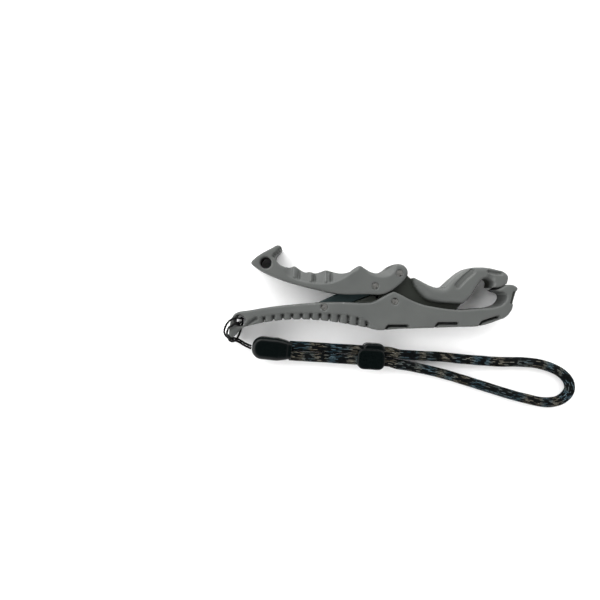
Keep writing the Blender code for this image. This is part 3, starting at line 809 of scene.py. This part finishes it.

# %% [markdown]
# ## The fixed handle and lower jaw
# The longest moulding carries the slot, the tail with its lanyard hole, a ribbed belly
# that fills the palm, and four weight-saving notches. The three along its lower edge
# have a deep gutter by the inner wall, which the eye reads as a black line. The one at
# the tip is shallow, and its floor is painted dark as painted shade. The ribs are lobes
# 4.94 mm apart with a narrow groove between each pair. The slot's inside and the stop
# under the link are painted near black as painted shade, and the stop is raised a little,
# to close the gap that the table shines through.

# %% Fixed handle
BODY_VOXEL = 0.36
BODY_CORE = 3.2
SLOT_HALF = 3.0
BODY_HOLE = (-81.3, -10.2)
RIB_PITCH = 4.94
RIB_COUNT = 12
FIRST_GROOVE = -68.7
GROOVE_HALF = 1.0
GROOVE_DEEP = 2.3
LOBE_ROUND = 2.1
LOBE_DEEP = 0.8
SCALLOP = 0.2
BELLY_STEP = 0.6
BELLY_START = line_of([(-79.2, -14.2), (-76.0, -11.0), (-72.6, -8.8)])
STOP_TOP = line_of([(-32.0, -5.25), (-10.6, 3.5), (-9.2, 3.6)])
STOP_RISE = 0.33
STOP_FADE = (-10.8, -12.4)
SLOT_LEFT = (-41.9, -41.3)
SLOT_RIGHT = (-8.0, -9.0)
SLOT_FLOOR = (-8.0, -7.0)
BELLY_TOP = line_of([
    (-79.0, -14.6), (-77.7, -13.0), (-75.2, -10.6), (-72.7, -8.9), (-69.0, -7.4),
    (-59.1, -6.0), (-49.2, -5.7), (-39.2, -5.7), (-29.8, -6.3), (-24.6, -6.6),
    (-19.4, -7.7), (-14.2, -9.9), (-10.4, -13.6),
])
NOTCH_WALLS = (
    ((-3.4, -12.8), (7.3, -12.8)), ((-5.0, -14.9), (-2.9, -12.4)),
    ((22.7, -11.5), (33.6, -11.5)), ((21.2, -13.6), (23.2, -11.1)),
    ((46.2, -10.6), (54.8, -7.9)), ((44.3, -12.8), (46.5, -10.2)),
)
GUTTER_WIDE = 1.4
GUTTER_DEEP = 4.5
FRONT_WALL = np.array([(-1.6, 60.2), (5.6, 61.95)])  # runs upwards, so it holds y, then x
FRONT_LOW = (-1.6, -1.2)
FRONT_HIGH = (5.6, 5.2)
FANG_FACET = line_of([(-80.3, -14.2), (-82.4, -16.2), (-85.2, -18.8)])


def cut_gutters(piece):
    """Cuts the deep gutter along each notch's wall into both sides."""
    for number, ((x0, y0), (x1, y1)) in enumerate(NOTCH_WALLS):
        size = (math.dist((x0, y0), (x1, y1)), GUTTER_WIDE, 2 * GUTTER_DEEP)
        turn = math.atan2(y1 - y0, x1 - x0)
        for level in (0.0, THICK):
            centre = ((x0 + x1) / 2, (y0 + y1) / 2, level)
            cut(piece, block(f"gutter_{number}", size, centre, turn))


def body_relief(places):
    fall = np.maximum(-above(places, BELLY_TOP), 0.0)
    x = places[:, 0]
    inside = ease(x, -80.5, -76.5) * ease(x, -9.4, -10.4)
    step = BELLY_STEP * (ease(fall, 0.0, 0.7) + ease(x, -24.0, -14.0))
    depth = (0.08 * fall + 0.04 * fall**2 + step * ease(fall, 0.0, 0.7)) * inside
    in_belly = ease(fall, 0.3, 0.9) * inside
    phase = (x - FIRST_GROOVE) / RIB_PITCH
    near = np.clip(np.round(phase), 0, RIB_COUNT - 1)
    away = np.abs(phase - near) * RIB_PITCH
    groove = (1 - np.clip(away / GROOVE_HALF, 0.0, 1.0) ** 2) ** 1.5
    depth += GROOVE_DEEP * groove * in_belly * (1 - 0.55 * ease(fall, 0.8, 3.4))
    depth += LOBE_DEEP * np.clip(1 - away / LOBE_ROUND, 0.0, 1.0) ** 2 * in_belly
    depth += pocket(places, BELLY_START, half_width=0.6, depth=2.3, wall=1.2)
    places[:, 1] += SCALLOP * groove * ease(fall, 1.0, 3.0) * inside
    depth += pocket(places, FANG_FACET, half_width=0.8, depth=1.6, wall=2.4)
    return depth + hole_rim(places, BODY_HOLE)


def make_body():
    blank = merged_copy("fixed_handle_and_jaw")
    cut_gutters(blank)
    skin = fine_skin(blank, BODY_VOXEL)
    places = take_places(skin)
    sink(places, body_relief(places), BODY_CORE)
    x, y, z = places.T
    # Painted shade: the slot's inside with its stop, and the tip notch's floor, are darkened to
    # near black.
    between = ease(np.abs(z - MIDDLE), SLOT_HALF + 1.0, SLOT_HALF + 0.6)
    in_slot = between * ease(x, *SLOT_LEFT) * ease(x, *SLOT_RIGHT) * ease(y, *SLOT_FLOOR)
    on_stop = in_slot * ease(above(places, STOP_TOP), -1.4, -0.5) * ease(x, *STOP_FADE)
    places[:, 1] += STOP_RISE * on_stop
    past_wall = ease(above(places[:, [1, 0]], FRONT_WALL), -0.1, 0.2)
    below_face = ease(z, THICK, THICK - 0.6)
    in_notch = past_wall * below_face * ease(y, *FRONT_LOW) * ease(y, *FRONT_HIGH)
    piece = finish_skin(skin, places, "body_moulding", 2)
    paint_shade(piece, np.maximum(in_slot, in_notch))
    return piece


body = make_body()
settle(body, "frame", GREY_NYLON, "fixed_handle_and_jaw")

# %% [markdown]
# ## The toggle link
# The link is a flat bar with round ends, moulded in a darker, glossier nylon. It lies
# between the cheeks and shows in the gap between the handles. Its shape is already right,
# so it only needs the same even skin and a longer smoothing, for a fuller edge.

# %% Link
LINK_VOXEL = 0.25


def make_link():
    skin = fine_skin(merged_copy("toggle_link"), LINK_VOXEL)
    return finish_skin(skin, take_places(skin), "link_moulding", 4)


DARK_NYLON = moulded("dark green nylon, moulding", "#142122", "#1b2b2c", "#2b3b3b", 0.45)
link = make_link()
settle(link, "link", DARK_NYLON, "toggle_link")

# %% [markdown]
# ## The spring pins
# Each pivot is a rolled spring pin: stainless strip curled into a tube with a slit, which
# squeezes into its hole and stays. Its wall is a small rectangle with chamfered ends, spun
# most of the way round. A solid core pin inside stiffens it. The strip is a dull grey,
# with fine marks along the way it was rolled.

# %% Pins
PIN_R = 1.68  # squeezed tight in its hole
PIN_WALL = 0.5
PIN_SLIT = math.radians(27)
PIN_END = 0.2
CHAMFER = 0.1
CORE_R = 1.08
CORE_END = 0.28
SPIN_STEPS = 40
CORE_SIDES = 32


def stainless():
    made, tree, shader = begin("stainless steel, rolled strip", roughness=0.4, metallic=1.0)
    place = add(tree, "TexCoord").outputs["Object"]
    fine = add(tree, "Mapping", {0: place, 3: (1.0, 1.0, 0.05)}).outputs[0]
    marks = add(tree, "TexNoise", {"Vector": fine, "Scale": per_metre(0.2), "Detail": 2.0})
    shade = blend(tree, marks.outputs[0], linear("#605f5d"), linear("#7f7f7c"))
    tree.links.new(shade, shader.inputs["Base Color"])
    rough = ramp(tree, marks.outputs[0], 0.3, 0.7, 0.42, 0.55)
    tree.links.new(rough, shader.inputs["Roughness"])
    return made


def make_pin(name, centre, slit_turn):
    made = bmesh.new()
    low, high = PIN_END, THICK - PIN_END
    inner, outer = PIN_R - PIN_WALL, PIN_R
    section = [
        (inner + CHAMFER, low), (outer - CHAMFER, low), (outer, low + CHAMFER),
        (outer, high - CHAMFER), (outer - CHAMFER, high), (inner + CHAMFER, high),
        (inner, high - CHAMFER), (inner, low + CHAMFER),
    ]
    corners = [made.verts.new((r * MM, 0.0, z * MM)) for r, z in section]
    face = made.faces.new(corners)
    spun = bmesh.ops.spin(
        made, geom=[face, *face.edges, *face.verts], cent=(0, 0, 0), axis=(0, 0, 1),
        angle=2 * math.pi - PIN_SLIT, steps=SPIN_STEPS, use_duplicate=False, use_merge=False,
    )
    print(name, len(spun["geom_last"]), "parts at the spin's end")
    bmesh.ops.contextual_create(made, geom=corners)
    core = bmesh.ops.create_cone(
        made, cap_ends=True, segments=CORE_SIDES, radius1=CORE_R * MM, radius2=CORE_R * MM,
        depth=(THICK - 2 * CORE_END) * MM,
    )["verts"]
    bmesh.ops.translate(made, vec=(0, 0, MIDDLE * MM), verts=core)
    ends = {e for v in core for e in v.link_edges if e.verts[0].co.z == e.verts[1].co.z}
    round_edges(made, list(ends), CHAMFER, 3)
    bmesh.ops.recalc_face_normals(made, faces=made.faces)
    put(made, slit_turn, centre)
    piece = to_object(made, name)
    piece.data.set_sharp_from_angle(angle=math.radians(35))
    return piece


STAINLESS = stainless()
PINS = (
    ("jaw_pivot", (0.0, 0.0), 100, "frame"),
    ("link_body", (-37.05, -2.98), 170, "frame"),
    ("link_lever", (-10.24, 8.10), -40, "lever"),
    ("lever_pivot", (2.56, 14.79), -60, "jaw"),
)
for place, centre, slit, rides_on in PINS:
    pin = make_pin(place + "_spring_pin", centre, math.radians(slit))
    settle(pin, rides_on, STAINLESS, place + "_pin")

# %% [markdown]
# ## The cap and the slider
# Both are black mouldings. The cap is crimped over the strap's ends and the tether, and
# narrows to a collar. The slider has a bore for both runs of the strap, a low block
# behind, and a raised face plate that catches a thin line of light along its edge. Each
# is made of rounded blocks and given a fine skin like the handles. Only the slider is
# bored, because nothing of the cap's inside can be seen past the strap.

# %% Cap and slider
CAP_WIDE = 12.2
CAP_HIGH = 9.4
CAP_NOSE = 5.4
CAP_ROUND = 2.6
CAP_VOXEL = 0.22
TAPER_AT = (14.0, 19.0, 19.6, CAP_LONG)
TAPER_SIZE = (1.0, 0.84, 0.78, 0.78)
SLIDER_AT = 44.0
SLIDER_BACK = (11.8, 13.6, 8.0)
SLIDER_PLATE = (14.6, 10.8, 9.2)
SLIDER_VOXEL = 0.2
BORE_LONG = 20.0
BORE_PLAY = 0.3


def black_moulding():
    made, tree, shader = begin("black acetal, satin moulding", ior=1.48)
    shader.inputs["Specular IOR Level"].default_value = 0.15
    place = add(tree, "TexCoord").outputs["Object"]
    grain = add(tree, "TexNoise", {"Vector": place, "Scale": per_metre(0.5), "Detail": 3.0})
    shade = blend(tree, grain.outputs[0], linear("#010404"), linear("#030707"))
    # Painted highlight: edges that Pointiness finds turn toward a paler grey.
    bend = add(tree, "NewGeometry").outputs["Pointiness"]
    edge = ramp(tree, bend, 0.54, 0.64, 0.0, 0.6)
    tree.links.new(blend(tree, edge, shade, linear("#1c2120")), shader.inputs["Base Color"])
    rough = ramp(tree, grain.outputs[0], 0.3, 0.7, 0.25, 0.34)
    tree.links.new(rough, shader.inputs["Roughness"])
    bump = add(tree, "Bump", {"Height": grain.outputs[0], "Strength": 0.2, "Distance": 0.04 * MM})
    tree.links.new(bump.outputs[0], shader.inputs["Normal"])
    return made


def on_strap(along, across, height=0.0):
    """A place by the strap's line, with a height from the middle of the strap."""
    x, y, z = strap_point(along, across)
    return (x, y, z + height)


def slider_bore():
    """A tool for the double hole that both runs of the strap pass through."""
    high = STRAP_D + 2 * BORE_PLAY
    wide = STRAP_PITCH + high
    made = start_block((BORE_LONG, wide, high))
    round_edges(made, edges_along(made, 0), 0.49 * high, 8)
    put(made, STRAP_TURN, on_strap(SLIDER_AT, 0.0))
    return to_object(made, "slider_bore")


def make_cap():
    """A long block with a round nose, tapered to its collar, which the strap's ends enter."""
    made = start_block((CAP_LONG, CAP_WIDE, CAP_HIGH))
    bmesh.ops.translate(made, vec=(CAP_LONG / 2 * MM, 0, 0), verts=made.verts)
    nose = [e for e in edges_along(made, 2) if e.verts[0].co.x < 1.0 * MM]
    round_edges(made, nose, CAP_NOSE, 8)
    collar = (CAP_LONG - 0.1) * MM
    rims = [e for e in level_edges(made) if min(v.co.x for v in e.verts) < collar]
    round_edges(made, rims, CAP_ROUND, 5)
    for cut_at in (14.0, 16.5, 19.0, 19.6):
        bmesh.ops.bisect_plane(
            made, geom=[*made.verts, *made.edges, *made.faces],
            plane_co=(cut_at * MM, 0, 0), plane_no=(1, 0, 0),
        )
    for corner in made.verts:
        size = float(np.interp(corner.co.x / MM, TAPER_AT, TAPER_SIZE))
        corner.co.y *= size
        corner.co.z *= size
    put(made, CAP_TURN, (*CAP_LEFT, STRAP_Z))
    skin = fine_skin(to_object(made, "cap_blank"), CAP_VOXEL)
    return finish_skin(skin, take_places(skin), "strap_cap", 3)


def make_slider():
    back = block(
        "slider_back", SLIDER_BACK, on_strap(SLIDER_AT + 0.3, 0.0, -0.7), STRAP_TURN,
        corner=3.0, rim=1.2,
    )
    plate = block(
        "slider_plate", SLIDER_PLATE, on_strap(SLIDER_AT - 1.1, -1.7), STRAP_TURN,
        corner=3.4, rim=0.8,
    )
    cut(back, plate, "UNION")
    cut(back, slider_bore())
    skin = fine_skin(back, SLIDER_VOXEL)
    return finish_skin(skin, take_places(skin), "slider_moulding", 2)


BLACK_ACETAL = black_moulding()
cap = make_cap()
settle(cap, "frame", BLACK_ACETAL, "cord_end_cap")
slider = make_slider()
settle(slider, "slider", BLACK_ACETAL, "strap_slider")

# %% [markdown]
# ## What the cords are
# A cord is bought by length and diameter, and it bends where it likes.

# %% The cords
print("declared", strap.name, "and", tether.name)

# %% [markdown]
# ## Table and light
# A white table and a large soft lamp far off over the top left, as for a catalogue. A
# bright sky, brightest on the lamp's side, fills the shadows. Straight overhead it is
# dark, as if a black card hung round the lens, so flat black plastic isn't veiled by a
# reflection and the rounded edges, which mirror the sides, stand out paler. The plain
# Standard view keeps whites white.

# %% Table and light
SKY_GLOW = 3.0
CARD_GLOW = 0.03
CARD_EDGE = 0.9
LAMP_WATTS = 5.0
LAMP_SIZE = 0.9
LAMP_AT = (-520.0, 640.0, 800.0)
LAMP_AIM = (-10.0, -10.0)
TABLE_DROP = 0.2
BRIGHT_SIDE = Vector((-0.6, 0.7, 0.4)).normalized()


def pale_table():
    made, tree, shader = begin("white paper sweep, matt", roughness=0.9, ior=1.45)
    place = add(tree, "TexCoord").outputs["Object"]
    fibre = add(tree, "TexNoise", {"Vector": place, "Scale": per_metre(3.0), "Detail": 3.0})
    shade = blend(tree, fibre.outputs[0], linear("#f6f6f6"), linear("#fbfbfb"))
    tree.links.new(shade, shader.inputs["Base Color"])
    return made


sheet = bmesh.new()
bmesh.ops.create_grid(sheet, x_segments=1, y_segments=1, size=1.5)
table = to_object(sheet, "table")
table.location.z = -TABLE_DROP * MM
table.data.materials.append(pale_table())

sky = bpy.data.worlds.new("soft_sky")
sky.use_nodes = True
towards = add(sky.node_tree, "TexCoord").outputs["Generated"]
height = add(sky.node_tree, "SeparateXYZ", {0: towards}).outputs[2]
facing = add(
    sky.node_tree, "VectorMath", {0: towards, 1: BRIGHT_SIDE}, operation="DOT_PRODUCT"
).outputs["Value"]
side_glow = ramp(sky.node_tree, facing, -0.6, 0.9, 0.45 * SKY_GLOW, 1.6 * SKY_GLOW)
glow = add(
    sky.node_tree, "MapRange",
    {0: height, 1: CARD_EDGE, 2: CARD_EDGE - 0.3, 3: CARD_GLOW, 4: side_glow}, clamp=True,
).outputs[0]
background = sky.node_tree.nodes["Background"]
background.inputs["Color"].default_value = (1.0, 1.0, 1.0, 1.0)
sky.node_tree.links.new(glow, background.inputs["Strength"])
bpy.context.scene.world = sky

lamp = bpy.data.objects.new("soft_lamp", bpy.data.lights.new("soft_lamp", "AREA"))
lamp.data.shape = "DISK"
lamp.data.size = LAMP_SIZE
lamp.data.energy = LAMP_WATTS
lamp.location = from_jaw_pin(*LAMP_AT)
aim = from_jaw_pin(*LAMP_AIM) - lamp.location
lamp.rotation_euler = aim.to_track_quat("-Z", "Y").to_euler()
bpy.context.scene.collection.objects.link(lamp)
bpy.context.scene.view_settings.view_transform = "Standard"
print("lamp", round(aim.length, 2), "m from the gripper")
